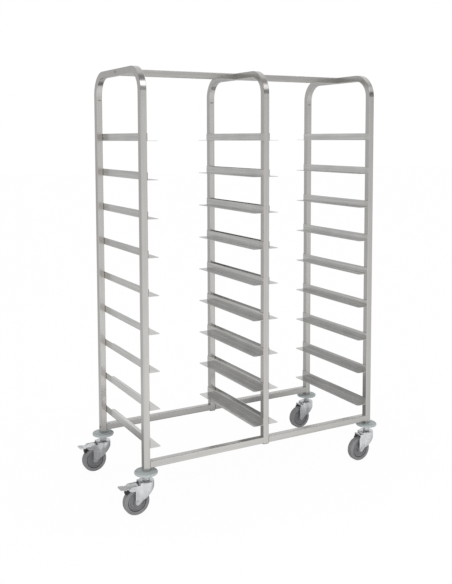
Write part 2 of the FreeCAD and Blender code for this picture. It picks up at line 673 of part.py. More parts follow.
# Castors.
inserts = [foot_plug("front_foot_plug", "-" + HALF_DEPTH), foot_plug("rear_foot_plug", HALF_DEPTH)]
balls = []
for corner, side, end, braked in CORNERS:
    x = "%d*dim.frame_spacing" % side
    y = "%d*%s" % (end, HALF_DEPTH)
    axle_x = "%s - dim.trail" % x
    inserts.append(leg_insert(corner + "_insert", x, y))
    balls.extend(swivel_balls(corner + "_ball", x, y))
    bumper(corner + "_bumper", x, y)
    stem(corner + "_stem", x, y)
    fork(corner + "_fork", x, y, braked)
    cross_pin(corner + "_axle", axle_x, y, "dim.wheel_radius", "dim.axle_radius",
              "dim.axle_head_radius", "dim.axle_head_height")
    hub(corner + "_hub", axle_x, y)
    tyre(corner + "_tyre", axle_x, y)
    if braked:
        brake_pedal(corner + "_brake_pedal", x, y)
        brake_shoe(corner + "_brake_shoe", x, y)
        cross_pin(corner + "_brake_pin", "%s - dim.pivot_reach" % x, y, "dim.pivot_height",
                  "dim.pin_radius", "dim.pin_head_radius", "dim.pin_head_height")
group("leg_inserts", inserts)
group("swivel_balls", balls)

doc.removeObject("guess")
doc.recompute()

# Every object must have come out sound before anything is written.
for thing in doc.Objects:
    if "Invalid" in thing.State or "Error" in thing.State:
        raise RuntimeError("%s is in state %s" % (thing.Label, thing.State))
for node in nodes:
    if node.Shape.isNull() or not node.Shape.isValid() or not node.Shape.Solids:
        raise RuntimeError("%s has no sound solid" % node.Label)

os.makedirs("parts", exist_ok=True)
for node in nodes:
    node.Shape.exportStep(os.path.join("parts", node.Label + ".step"))
    print("%s: %d solids, %.0f mm3" % (node.Label, len(node.Shape.Solids), node.Shape.Volume))
print("%d nodes" % len(nodes))
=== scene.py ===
import math

import bmesh
import bpy
from mathutils import Matrix, Vector


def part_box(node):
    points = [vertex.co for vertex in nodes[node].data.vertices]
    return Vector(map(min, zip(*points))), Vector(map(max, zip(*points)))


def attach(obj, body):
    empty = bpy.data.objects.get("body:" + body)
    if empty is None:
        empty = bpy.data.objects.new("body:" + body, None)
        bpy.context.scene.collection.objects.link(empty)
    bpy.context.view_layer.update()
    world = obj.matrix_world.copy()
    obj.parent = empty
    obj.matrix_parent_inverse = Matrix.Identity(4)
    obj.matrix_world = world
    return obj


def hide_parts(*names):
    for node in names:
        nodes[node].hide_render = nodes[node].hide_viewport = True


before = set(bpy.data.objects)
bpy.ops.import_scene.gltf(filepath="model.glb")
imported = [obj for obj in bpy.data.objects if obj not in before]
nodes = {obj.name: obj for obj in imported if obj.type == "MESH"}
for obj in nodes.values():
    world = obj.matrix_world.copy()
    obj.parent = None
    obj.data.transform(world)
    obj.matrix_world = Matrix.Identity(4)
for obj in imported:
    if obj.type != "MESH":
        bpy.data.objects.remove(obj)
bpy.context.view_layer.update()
scene = bpy.context.scene
MM = 0.001

# The trolley's own measures, read from the frame, in metres.
TIERS = 9
BAYS = ("left", "right")
CORNERS = ("front_left", "front_right", "rear_left", "rear_right")
BRAKED = ("front_left", "rear_left")
END_LOW, END_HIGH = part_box("left_end_frame")
TUBE = END_HIGH.x - END_LOW.x
HALF_TUBE = TUBE / 2
SPACING = -(END_LOW.x + END_HIGH.x) / 2
HALF_DEPTH = END_HIGH.y - HALF_TUBE
TOP_LINE = END_HIGH.z - HALF_TUBE
RAIL_LOW, RAIL_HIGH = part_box("front_left_rail")
RAIL_LINE = (RAIL_LOW.z + RAIL_HIGH.z) / 2
WEB_TOPS = [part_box("left_bay_runners_%d" % tier)[1].z for tier in range(1, TIERS + 1)]

# Small sizes that only the finish shows.
BEND_RADIUS = 84 * MM
SEAM_BELOW_BEND = 18 * MM
RUNNER_SHEET = 1.5 * MM
STEM_HOLE = 6.1 * MM
DISC_EDGE = 4 * MM
TYRE_GROOVE = 2.6 * MM
TYRE_GROOVE_DEPTH = 10 * MM
TYRE_GROOVE_EDGE = 0.8 * MM
TYRE_SHOULDER = 5 * MM
HUB_FACE = 11 * MM
HUB_DISH = 8 * MM
HUB_RIM = 5 * MM
HUB_RIM_EDGE = 0.7 * MM
HUB_SEAT_EDGE = 0.9 * MM
HUB_BOSS = 14 * MM
HUB_SLOPE = 1 * MM
HUB_EDGE = 1 * MM
AXLE_HOLE = 6.1 * MM
PRESSED_EDGE = 0.7 * MM
TREAD_LENGTH = 24 * MM
TREAD_BEND_RISE = 4 * MM
TREAD_TIP_RISE = 7 * MM
RIB_LENGTH = 26 * MM
RIB_RADIUS = 1.1 * MM
RIB_SHARES = (0.25, 0.5, 0.75)
BOLT_HEAD_RADIUS = 6 * MM
BOLT_HEAD_HEIGHT = 3.5 * MM
BOLT_SOCKET_RADIUS = 2.4 * MM
BOLT_SOCKET_LIFT = 1.45
BOLT_SHANK_RADIUS = 3 * MM
BOLT_PAST_TUBE = 8 * MM
BEAD_PITCH = 2 * MM
BEAD_RADIUS = 1.2 * MM
BEAD_SMALLEST = 0.8
BEAD_LARGEST = 1.15
BEAD_SEED = 5
WELD_HALF_LENGTH = HALF_TUBE * 0.7
WELD_HIGH = 4 * MM
WELD_LOW = 24 * MM

# How finely round pieces and rounded edges are cut, and which edges count as sharp.
LATHE_TURNS = 96
ARC_STEPS = 5
MERGE_DISTANCE = 0.01 * MM
FLAT_ANGLE = math.radians(0.5)
BEVEL_ANGLE = math.radians(35)
BEVEL_STEPS = 2
SHARP_ANGLE = math.radians(32)

# Camera that took the picture: where it stood, how it was turned, its lens and its shift.
PICTURE_HEIGHT = 584
EYE = Vector((-1.7337, -3.0289, 1.4458))
LOOK_RIGHT = math.radians(29.061)
LOOK_DOWN = math.radians(4.523)
TILT = math.radians(0.148)
FOCAL_PIXELS = 803.3
SENSOR = 36.0
SHIFT_UP = -0.1541

# Studio: brightness that metal mirrors from each side, and how white the floor is.
ROOM_FRONT = 1.0
ROOM_LEFT = 0.80
ROOM_RIGHT = 0.66
ROOM_BACK = 0.55
CEILING_FRONT = 0.28
CEILING_BACK = 0.75
FAR_FLOOR = 0.92
BACK_LEFT_LIFT = 0.7
BACK_RIGHT_LIFT = 1.4
FLOOR_WHITE = 0.95
FLOOR_GREY = 0.93
FLOOR_HALF_SIZE = 30.0
UNDER_SHADE = 0.58
UNDER_ACROSS = -0.15
UNDER_DEEP = 0.2
HORIZON_FADE = 0.2
BAND_FADE = 0.68
# Stripes of the room's front, from the horizon up: height of each and its share of the brightest one.
BRIGHTEST = 2.2
FRONT_STRIPES = ((0.0, 0.36), (0.03, 0.50), (0.07, 0.40), (0.14, 0.19),
                 (0.35, 0.19), (0.42, 1.0), (0.64, 1.0), (0.72, 0.13))
# Ranges over which the room and the floor change: parts of a direction, or metres on the floor.
SIDES_TURN = (-0.8, 0.8)
ENDS_TURN = (-0.9, 0.9)
BAND_RIGHT_END = (0.42, 0.62)
BAND_LEFT_END = (-0.1, 0.2)
BAND_RISE = (0.0, 0.36)
LIFT_TURN = (-0.3, 0.3)
LIFT_RISE = (0.1, 0.32)
FRONT_END = (-0.6, 0.0)
CEILING_TURN = (-0.35, 0.1)
CEILING_RISE = (0.72, 0.85)
UNDER_DEPTH_END = (0.3, 0.7)
UNDER_WIDTH_END = (0.6, 1.1)
FLOOR_REACH = (2.0, 8.0)
# Soft lamp in front, to the left.
LAMP_PLACE = Vector((-1.2, -3.0, 1.3))
LAMP_AIM = Vector((-0.2, 0.0, 0.6))
LAMP_WIDTH = 3.0
LAMP_HEIGHT = 2.6
LAMP_POWER = 32.0

# Middle range of a noise, no stretch, and the places of a Mix node's colour sockets.
NOISE_LOW = 0.3
NOISE_HIGH = 0.7
EVEN = (1, 1, 1)
MIX_FACTOR = 0
MIX_FIRST = 6
MIX_SECOND = 7
MIX_RESULT = 2


class Wire:
    """A socket that can be used in sums like a number."""

    def __init__(self, maker, socket):
        self.maker = maker
        self.socket = socket

    def _sum(self, operation, first, second=None):
        """A Math node on one or two values."""
        values = {0: first} if second is None else {0: first, 1: second}
        return self.maker.node("ShaderNodeMath", {"operation": operation}, values).out()

    def __add__(self, other):
        return self._sum("ADD", self, other)

    def __radd__(self, other):
        return self._sum("ADD", other, self)

    def __sub__(self, other):
        return self._sum("SUBTRACT", self, other)

    def __rsub__(self, other):
        return self._sum("SUBTRACT", other, self)

    def __mul__(self, other):
        return self._sum("MULTIPLY", self, other)

    def __rmul__(self, other):
        return self._sum("MULTIPLY", other, self)

    def __abs__(self):
        return self._sum("ABSOLUTE", self)

    def most(self, other):
        """The larger of two values."""
        return self._sum("MAXIMUM", self, other)

    def least(self, other):
        """The smaller of two values."""
        return self._sum("MINIMUM", self, other)

    def fade(self, low, high, to_low=0.0, to_high=1.0):
        """Smooth step from to_low at low to to_high at high."""
        settings = {"interpolation_type": "SMOOTHSTEP"}
        values = {"Value": self, "From Min": low, "From Max": high, "To Min": to_low, "To Max": to_high}
        return self.maker.node("ShaderNodeMapRange", settings, values).out("Result")

    def clear(self, to_low=0.0, to_high=1.0):
        """A noise with its middle range spread out."""
        return self.fade(NOISE_LOW, NOISE_HIGH, to_low, to_high)


class Made:
    """A node that was made, giving its outputs as wires."""

    def __init__(self, maker, node):
        self.maker = maker
        self.node = node

    def out(self, name=0):
        """An output, by its name or place."""
        return Wire(self.maker, self.node.outputs[name])


class Maker:
    """Builds the nodes of one tree."""

    def __init__(self, tree):
        self.tree = tree

    def node(self, kind, settings=None, values=None):
        """A node of a type, with its settings first and then its sockets' values or links."""
        node = self.tree.nodes.new(kind)
        for name, value in (settings or {}).items():
            if name == "stops":
                ramp = node.color_ramp.elements
                while len(ramp) < len(value):
                    ramp.new(0.5)
                for stop, (place, shade) in zip(ramp, value):
                    stop.position = place
                    stop.color = shade
            else:
                setattr(node, name, value)
        for name, value in (values or {}).items():
            self.put(node.inputs[name], value)
        return Made(self, node)

    def put(self, socket, value):
        """Give a socket a link or a value."""
        if isinstance(value, Wire):
            self.tree.links.new(value.socket, socket)
        else:
            socket.default_value = value

    def blend(self, factor, first, second):
        """Colour between two colours."""
        values = {MIX_FACTOR: factor, MIX_FIRST: first, MIX_SECOND: second}
        return self.node("ShaderNodeMix", {"data_type": "RGBA"}, values).out(MIX_RESULT)


class Finish(Maker):
    """A material round one main shader, patterned on the object's own coordinates."""

    def __init__(self, name, **fixed):
        self.material = bpy.data.materials.new(name)
        self.material.use_nodes = True
        super().__init__(self.material.node_tree)
        self.shader = self.tree.nodes["Principled BSDF"]
        self.spot = self.node("ShaderNodeTexCoord").out("Object")
        self.set(**fixed)

    def set(self, **values):
        """Give the main shader's sockets links or values."""
        for name, value in values.items():
            self.put(self.shader.inputs[name.replace("_", " ").title()], value)

    def axes(self):
        """The object's own X, Y and Z."""
        parts = self.node("ShaderNodeSeparateXYZ", None, {0: self.spot})
        return parts.out("X"), parts.out("Y"), parts.out("Z")

    def noise(self, stretch, scale=1.0, detail=2.0, roughness=0.5):
        """Noise between 0 and 1 with its own stretch along X, Y and Z."""
        mapped = self.node("ShaderNodeMapping", {"vector_type": "POINT"},
                           {"Vector": self.spot, "Scale": stretch}).out()
        values = {"Vector": mapped, "Scale": scale, "Detail": detail, "Roughness": roughness}
        return self.node("ShaderNodeTexNoise", {"noise_dimensions": "3D"}, values).out(0)

    def bump(self, height, strength, distance):
        """Fine relief on the main shader."""
        values = {"Height": height, "Strength": strength, "Distance": distance}
        self.put(self.shader.inputs["Normal"], self.node("ShaderNodeBump", None, values).out())


class Shaper(Maker):
    """A geometry tree with named sizes that grows one plain mesh from spots and lines."""

    def __init__(self, name, material):
        super().__init__(bpy.data.node_groups.new(name, "GeometryNodeTree"))
        self.tree.interface.new_socket("Geometry", in_out="INPUT", socket_type="NodeSocketGeometry")
        self.tree.interface.new_socket("Geometry", in_out="OUTPUT", socket_type="NodeSocketGeometry")
        self.inlet = self.node("NodeGroupInput")
        self.outlet = self.node("NodeGroupOutput")
        self.material = material
        self.sizes = {}

    def seed(self):
        """The spots and lines that the tree starts from."""
        return self.inlet.out("Geometry")

    def size(self, name, value):
        """A named input and the value that it gets."""
        socket = self.tree.interface.new_socket(name, in_out="INPUT", socket_type="NodeSocketFloat")
        self.sizes[socket.identifier] = value
        return self.inlet.out(name)

    def spread(self, points, shape, rotation, scale=EVEN):
        """The shape on every point, as real faces with the material."""
        values = {"Points": points, "Instance": shape, "Rotation": rotation, "Scale": scale}
        placed = self.node("GeometryNodeInstanceOnPoints", None, values).out()
        real = self.node("GeometryNodeRealizeInstances", None, {"Geometry": placed}).out()
        done = self.node("GeometryNodeSetMaterial", None, {"Geometry": real, "Material": self.material}).out()
        self.put(self.outlet.node.inputs["Geometry"], done)

    def grow(self, spots, lines=()):
        """Plain mesh that the tree makes from spots and lines."""
        mesh = bpy.data.meshes.new(self.tree.name)
        mesh.from_pydata(spots, lines, [])
        holder = bpy.data.objects.new(self.tree.name, mesh)
        scene.collection.objects.link(holder)
        modifier = holder.modifiers.new("shape", "NODES")
        modifier.node_group = self.tree
        for identifier, value in self.sizes.items():
            modifier[identifier] = value
        grown = plain_mesh(holder)
        bpy.data.objects.remove(holder)
        return grown


def plain_mesh(holder):
    """What an object's modifiers make of it, as a mesh of its own."""
    graph = bpy.context.evaluated_depsgraph_get()
    made = bpy.data.meshes.new_from_object(holder.evaluated_get(graph))
    holder.modifiers.clear()
    return made


def colour(red, green, blue):
    """An opaque colour."""
    return (red, green, blue, 1.0)


STEEL_LIGHT = colour(0.62, 0.61, 0.59)
STEEL_DARK = colour(0.54, 0.53, 0.515)
SHEET_LIGHT = colour(0.80, 0.795, 0.785)
SHEET_DARK = colour(0.58, 0.575, 0.565)
WELD_TINT = colour(0.50, 0.43, 0.33)
WELD_DARK = colour(0.44, 0.41, 0.37)
WELD_LIGHT = colour(0.60, 0.57, 0.53)
ZINC_DARK = colour(0.72, 0.73, 0.74)
ZINC_LIGHT = colour(0.84, 0.85, 0.86)
SEAM_DARK = colour(0.12, 0.115, 0.11)
WHITE = colour(1, 1, 1)

# Brush lines: how fine they are across and along, and how much coarser the streaks are.
FINE = 700.0
ALONG = 9.0
STREAK_SCALE = 0.3
SMEAR_STRETCH = (3, 3, 1)
# Shares of lines, streaks and clouds in the colour of brushed steel, and what they do to its surface.
LINE_SHARE = 0.25
STREAK_SHARE = 0.5
CLOUD_SHARE = 0.25
LINE_ROUGHNESS = 0.04
SMEAR_ROUGHNESS = 0.06
LINE_BUMP = 0.02
LINE_DEPTH = 0.2 * MM
# Roughness of the other finishes, how far it varies, and their relief.
WELD_ROUGHNESS = 0.28
WELD_VARIES = 0.2
ZINC_ROUGHNESS = 0.26
ZINC_VARIES = 0.10
ZINC_BUMP = 0.04
ZINC_DEPTH = 0.6 * MM
BOLT_VARIES = 0.16
SCUFF_VARIES = 0.16
GRAIN_VARIES = 0.08
GRAIN_BUMP = 0.15
GRAIN_DEPTH = 0.3 * MM
MOULD_GRAIN = 900.0
RUBBER_GRAIN = 1200.0

# Seam marks under the bends: their ragged edge, their height and their width on the tube's face.
SEAM_RAG = 4 * MM
SEAM_CORE = 1 * MM
SEAM_EDGE = 4 * MM
SEAM_FULL = 4 * MM
SEAM_END = 11 * MM
# How strong they are on the front and rear legs, how deep the change lies, and how patchy they are.
SEAM_FRONT = 0.1
SEAM_REAR = 0.8
SEAM_TURN = (-0.1, 0.1)
PATCH_RANGE = (0.3, 0.6)
PATCH_WEAK = 0.4
# Weld tint: where it is full, where it ends and how strong it is.
TIER_TINT_DROP = 14 * MM
TIER_TINT_FULL = 10 * MM
TIER_TINT_END = 30 * MM
LEG_TINT_FULL = 1 * MM
LEG_TINT_END = 8 * MM
LEG_TINT_WEAK = 0.05
LEG_TINT_STRONG = 0.2
CROSS_TINT_RAG = 12 * MM
CROSS_TINT_FULL = 2 * MM
CROSS_TINT_END = 24 * MM
CROSS_TINT = 0.10
RUNNER_TINT_RAG = 8 * MM
RUNNER_TINT_FULL = 2 * MM
RUNNER_TINT_END = 10 * MM
RUNNER_TINT = 0.12
WEB_TINT_FULL = 3 * MM
WEB_TINT_END = 8 * MM


def brushed(finish, stretch, light, dark, rough):
    """Fine brush lines along one axis and faint clouding; gives the colour for marks to be laid on."""
    lines = finish.noise(stretch, scale=1.0, detail=3.0, roughness=0.6)
    cloud = finish.noise(EVEN, scale=9.0, detail=3.0, roughness=0.55)
    smear = finish.noise(SMEAR_STRETCH, scale=30.0, detail=4.0, roughness=0.6)
    streaks = finish.noise(stretch, scale=STREAK_SCALE, detail=2.0, roughness=0.5)
    shade = lines * LINE_SHARE + streaks * STREAK_SHARE + cloud * CLOUD_SHARE
    finish.set(roughness=rough + (lines - 0.5) * LINE_ROUGHNESS + (smear - 0.5) * SMEAR_ROUGHNESS)
    finish.bump(lines, LINE_BUMP, LINE_DEPTH)
    return finish.blend(shade.clear(), dark, light)


def upright_steel():
    """Frame tube, brushed along the legs, with the mill seam under each bend and weld tint at the tiers."""
    finish = Finish("upright_steel", metallic=1.0)
    base = brushed(finish, (FINE, FINE, ALONG), STEEL_LIGHT, STEEL_DARK, rough=0.20)
    across, deep, up = finish.axes()
    rag = finish.noise(EVEN, scale=160.0, detail=3.0)
    seam_height = TOP_LINE - BEND_RADIUS - SEAM_BELOW_BEND
    aside = abs(SPACING / 2 - abs(abs(across) - SPACING / 2))
    seam = abs(up - seam_height + (rag - 0.5) * SEAM_RAG).fade(SEAM_CORE, SEAM_EDGE, 1.0, 0.0)
    seam = seam * aside.fade(SEAM_FULL, SEAM_END, 1.0, 0.0)
    seam = seam * deep.fade(*SEAM_TURN, SEAM_FRONT, SEAM_REAR) * rag.fade(*PATCH_RANGE, PATCH_WEAK, 1.0)
    inner = (abs(deep) - (HALF_DEPTH - HALF_TUBE)).fade(-LEG_TINT_FULL, LEG_TINT_END, 1.0, 0.0)
    tiers = None
    for web_top in WEB_TOPS:
        near = abs(up - web_top + TIER_TINT_DROP).fade(TIER_TINT_FULL, TIER_TINT_END, 1.0, 0.0)
        tiers = near if tiers is None else tiers.most(near)
    tint = tiers * inner * rag.clear(LEG_TINT_WEAK, LEG_TINT_STRONG)
    tinted = finish.blend(tint, base, WELD_TINT)
    finish.set(base_color=finish.blend(seam, tinted, SEAM_DARK))
    return finish.material


def cross_steel():
    """Rails and ties, brushed along X, tinted where they are welded to the middle frame."""
    finish = Finish("cross_steel", metallic=1.0)
    base = brushed(finish, (ALONG, FINE, FINE), STEEL_LIGHT, STEEL_DARK, rough=0.24)
    across = finish.axes()[0]
    rag = finish.noise(EVEN, scale=120.0, detail=3.0)
    heat = abs(across) - HALF_TUBE + (rag - 0.5) * CROSS_TINT_RAG
    heat = heat.fade(CROSS_TINT_FULL, CROSS_TINT_END, CROSS_TINT, 0.0)
    finish.set(base_color=finish.blend(heat, base, WELD_TINT))
    return finish.material


def runner_steel():
    """Folded sheet, brushed along Y, tinted where it is welded to the legs."""
    finish = Finish("runner_steel", metallic=1.0)
    base = brushed(finish, (FINE, ALONG, FINE), SHEET_LIGHT, SHEET_DARK, rough=0.20)
    across, deep = finish.axes()[:2]
    rag = finish.noise(EVEN, scale=150.0, detail=3.0)
    leg = abs(abs(deep) - HALF_DEPTH) - HALF_TUBE
    web = SPACING / 2 - abs(abs(across) - SPACING / 2) - HALF_TUBE
    heat = (leg + (rag - 0.5) * RUNNER_TINT_RAG).fade(-RUNNER_TINT_FULL, RUNNER_TINT_END, RUNNER_TINT, 0.0)
    heat = heat * web.fade(WEB_TINT_FULL, WEB_TINT_END, 1.0, 0.0)
    finish.set(base_color=finish.blend(heat, base, WELD_TINT))
    return finish.material


def weld_steel():
    """Weld metal, straw-coloured and duller than the tube."""
    finish = Finish("weld_steel", metallic=1.0)
    cloud = finish.noise(EVEN, scale=220.0, detail=3.0)
    finish.set(base_color=finish.blend(cloud.clear(), WELD_DARK, WELD_LIGHT))
    finish.set(roughness=WELD_ROUGHNESS + cloud * WELD_VARIES)
    return finish.material


def bright_zinc():
    """Bright plated pressed steel with a faint cloudy spangle."""
    finish = Finish("bright_zinc", metallic=1.0)
    cells = finish.node("ShaderNodeTexVoronoi", {"feature": "SMOOTH_F1"},
                        {"Vector": finish.spot, "Scale": 140.0, "Smoothness": 0.6}).out("Distance")
    cloud = finish.noise(EVEN, scale=60.0, detail=3.0)
    finish.set(base_color=finish.blend(cloud.clear(), ZINC_DARK, ZINC_LIGHT))
    finish.set(roughness=ZINC_ROUGHNESS + cells * ZINC_VARIES + (cloud - 0.5) * ZINC_VARIES)
    finish.bump(cloud, ZINC_BUMP, ZINC_DEPTH)
    return finish.material


def turned_steel(name, light, dark, rough):
    """Turned or headed steel of bolts, pins and balls."""
    finish = Finish(name, metallic=1.0)
    cloud = finish.noise(EVEN, scale=300.0, detail=2.0)
    finish.set(base_color=finish.blend(cloud, dark, light))
    finish.set(roughness=rough + cloud * BOLT_VARIES)
    return finish.material


def moulded_plastic(name, light, dark, rough, grain):
    """Moulded plastic with fine grain and faint scuffs."""
    finish = Finish(name, metallic=0.0)
    cloud = finish.noise(EVEN, scale=25.0, detail=4.0, roughness=0.6)
    fine = finish.noise(EVEN, scale=grain, detail=2.0)
    finish.set(base_color=finish.blend(cloud.clear(), dark, light))
    finish.set(roughness=rough + (cloud - 0.5) * SCUFF_VARIES + (fine - 0.5) * GRAIN_VARIES)
    finish.bump(fine, GRAIN_BUMP, GRAIN_DEPTH)
    return finish.material


def paint(material, *names):
    """Give CAD nodes a finish."""
    for name in names:
        mesh = nodes[name].data
        mesh.materials.clear()
        mesh.materials.append(material)


frame_tube = upright_steel()
cross_tube = cross_steel()
runner_sheet = runner_steel()
weld_metal = weld_steel()
zinc = bright_zinc()
bolt_steel = turned_steel("polished_bolt", light=colour(0.80, 0.80, 0.80),
                          dark=colour(0.62, 0.62, 0.62), rough=0.14)
head_steel = turned_steel("dull_bolt", light=colour(0.56, 0.555, 0.55),
                          dark=colour(0.42, 0.415, 0.41), rough=0.30)
bumper_grey = moulded_plastic("bumper_grey", light=colour(0.41, 0.445, 0.448),
                              dark=colour(0.365, 0.40, 0.403), rough=0.50, grain=MOULD_GRAIN)
insert_grey = moulded_plastic("insert_grey", light=colour(0.22, 0.22, 0.225),
                              dark=colour(0.17, 0.17, 0.175), rough=0.55, grain=MOULD_GRAIN)
hub_grey = moulded_plastic("hub_grey", light=colour(0.185, 0.187, 0.194),
                           dark=colour(0.155, 0.157, 0.164), rough=0.42, grain=MOULD_GRAIN)
tyre_grey = moulded_plastic("tyre_grey", light=colour(0.22, 0.22, 0.226),
                            dark=colour(0.18, 0.18, 0.186), rough=0.55, grain=RUBBER_GRAIN)
shoe_black = moulded_plastic("shoe_black", light=colour(0.022, 0.022, 0.022),
                             dark=colour(0.012, 0.012, 0.012), rough=0.5, grain=MOULD_GRAIN)

paint(frame_tube, "left_end_frame", "middle_frame", "right_end_frame")
for bay in BAYS:
    paint(cross_tube, bay + "_top_tie", "front_%s_rail" % bay, "rear_%s_rail" % bay)
    paint(runner_sheet, *["%s_bay_runners_%d" % (bay, tier) for tier in range(1, TIERS + 1)])
for corner in CORNERS:
    paint(zinc, corner + "_stem")
    paint(bolt_steel, corner + "_axle")
for corner in BRAKED:
    paint(shoe_black, corner + "_brake_shoe")
    paint(bolt_steel, corner + "_brake_pin")
paint(bolt_steel, "swivel_balls")
paint(insert_grey, "leg_inserts")


def rounded(corners):
    """Outline through corners of radius, height and rounding, with an arc at each rounded one."""
    line = []
    for index, (radius, height, rounding) in enumerate(corners):
        here = Vector((radius, height))
        if rounding == 0:
            line.append(here)
            continue
        before = (Vector(corners[index - 1][:2]) - here).normalized()
        after = (Vector(corners[(index + 1) % len(corners)][:2]) - here).normalized()
        half = before.angle(after) / 2
        middle = here + (before + after).normalized() * (rounding / math.sin(half))
        first = here + before * (rounding / math.tan(half)) - middle
        last = here + after * (rounding / math.tan(half)) - middle
        for step in range(ARC_STEPS + 1):
            share = step / ARC_STEPS
            line.append(middle + (first * (1 - share) + last * share).normalized() * rounding)
    return line


def lathe(name, corners, matrix):
    """Closed outline turned round Z and then put in its place."""
    outline = rounded(corners)
    mesh = bpy.data.meshes.new(name)
    spots = []
    for turn in range(LATHE_TURNS):
        angle = 2 * math.pi * turn / LATHE_TURNS
        for spot in outline:
            spots.append(matrix @ Vector((spot.x * math.cos(angle), spot.x * math.sin(angle), spot.y)))
    count = len(outline)
    faces = []
    for turn in range(LATHE_TURNS):
        near = turn * count
        far = (turn + 1) % LATHE_TURNS * count
        for index in range(count):
            after = (index + 1) % count
            faces.append((near + index, far + index, far + after, near + after))
    mesh.from_pydata(spots, [], faces)
    mend = bmesh.new()
    mend.from_mesh(mesh)
    bmesh.ops.recalc_face_normals(mend, faces=mend.faces)
    mend.to_mesh(mesh)
    mend.free()
    return mesh


def softened(node):
    """Copy of a CAD node's mesh with small rounded edges, as pressed sheet has."""
    mesh = bpy.data.meshes.new(node)
    mend = bmesh.new()
    mend.from_mesh(nodes[node].data)
    bmesh.ops.remove_doubles(mend, verts=mend.verts, dist=MERGE_DISTANCE)
    bmesh.ops.dissolve_limit(mend, angle_limit=FLAT_ANGLE, verts=mend.verts, edges=mend.edges)
    mend.to_mesh(mesh)
    mend.free()
    holder = bpy.data.objects.new(node, mesh)
    scene.collection.objects.link(holder)
    bevel = holder.modifiers.new("edges", "BEVEL")
    bevel.width = PRESSED_EDGE
    bevel.segments = BEVEL_STEPS
    bevel.limit_method = "ANGLE"
    bevel.angle_limit = BEVEL_ANGLE
    made = plain_mesh(holder)
    bpy.data.objects.remove(holder)
    return made


def piece(name, mesh, material, slot, body, *replaced):
    """Finished piece that rides on a body and may stand for CAD nodes."""
    mesh.materials.clear()
    mesh.materials.append(material)
    mesh.shade_smooth()
    mesh.set_sharp_from_angle(angle=SHARP_ANGLE)
    thing = bpy.data.objects.new(name, mesh)
    scene.collection.objects.link(thing)
    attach(thing, body)
    if replaced:
        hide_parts(*replaced)


def bumper_disc(corner):
    """Round disc under a leg."""
    node = corner + "_bumper"
    low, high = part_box(node)
    middle = (low + high) / 2
    radius = (high.x - low.x) / 2
    half = (high.z - low.z) / 2
    corners = ((STEM_HOLE, -half, 0), (radius, -half, DISC_EDGE),
               (radius, half, DISC_EDGE), (STEM_HOLE, half, 0))
    mesh = lathe(node, corners, Matrix.Translation(middle))
    piece(corner + "_bumper_disc", mesh, bumper_grey, "bumper_grey", "frame", node)


def wheel_place(low, high):
    """Middle of a wheel, with its axle along Y."""
    return Matrix.Translation((low + high) / 2) @ Matrix.Rotation(math.pi / 2, 4, "X")


def both_faces(corners):
    """Outline of a round piece that is the same on both faces, from one face's corners."""
    return [(radius, -height, rounding) for radius, height, rounding in corners] + list(reversed(corners))


def tyre(corner):
    """Rubber tyre with a round shoulder and a groove beside the hub."""
    node = corner + "_tyre"
    low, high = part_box(node)
    radius = (high.z - low.z) / 2
    half = (high.y - low.y) / 2
    hub_low, hub_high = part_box(corner + "_hub")
    seat = (hub_high.z - hub_low.z) / 2
    corners = ((seat, half - TYRE_GROOVE_DEPTH, 0), (seat + TYRE_GROOVE, half - TYRE_GROOVE_DEPTH, 0),
               (seat + TYRE_GROOVE, half, TYRE_GROOVE_EDGE), (radius, half, TYRE_SHOULDER))
    mesh = lathe(node, both_faces(corners), wheel_place(low, high))
    piece(corner + "_tyre_rubber", mesh, tyre_grey, "tyre_grey", corner + "_wheel", node)


def hub(corner):
    """Moulded wheel centre with boss, dished ring and rim."""
    node = corner + "_hub"
    low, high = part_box(node)
    seat = (high.z - low.z) / 2
    boss = (high.y - low.y) / 2
    ring = seat - HUB_RIM
    corners = ((AXLE_HOLE, boss, 0), (HUB_BOSS, boss, HUB_EDGE),
               (HUB_BOSS + HUB_SLOPE, HUB_DISH, HUB_EDGE), (ring - HUB_SLOPE, HUB_DISH, HUB_EDGE),
               (ring, HUB_FACE, HUB_RIM_EDGE), (seat, HUB_FACE, HUB_SEAT_EDGE))
    mesh = lathe(node, both_faces(corners), wheel_place(low, high))
    piece(corner + "_hub_centre", mesh, hub_grey, "hub_grey", corner + "_wheel", node)


def fork(corner):
    """Pressed fork over a wheel."""
    node = corner + "_fork"
    piece(corner + "_pressed_fork", softened(node), zinc, "bright_zinc", corner + "_castor", node)


def brake_pedal(corner):
    """Pressed pedal with ribs across its broad end."""
    node = corner + "_brake_pedal"
    body = corner + "_brake"
    piece(corner + "_pressed_pedal", softened(node), zinc, "bright_zinc", body, node)
    low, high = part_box(node)
    pin_low, pin_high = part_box(corner + "_brake_pin")
    pin = (pin_low.z + pin_high.z) / 2
    middle = (low.y + high.y) / 2
    ribs = Shaper(corner + "_pedal_ribs", zinc)
    length = ribs.size("Rib Length", RIB_LENGTH)
    radius = ribs.size("Rib Radius", RIB_RADIUS)
    shape = ribs.node("GeometryNodeMeshCylinder", None,
                      {"Vertices": 10, "Radius": radius, "Depth": length}).out()
    ribs.spread(ribs.seed(), shape, (math.pi / 2, 0, 0))
    spots = []
    for share in RIB_SHARES:
        rise = TREAD_TIP_RISE + (TREAD_BEND_RISE - TREAD_TIP_RISE) * share
        spots.append((low.x + TREAD_LENGTH * share, middle, pin + rise))
    piece(corner + "_pedal_grip", ribs.grow(spots), zinc, "bright_zinc", body)


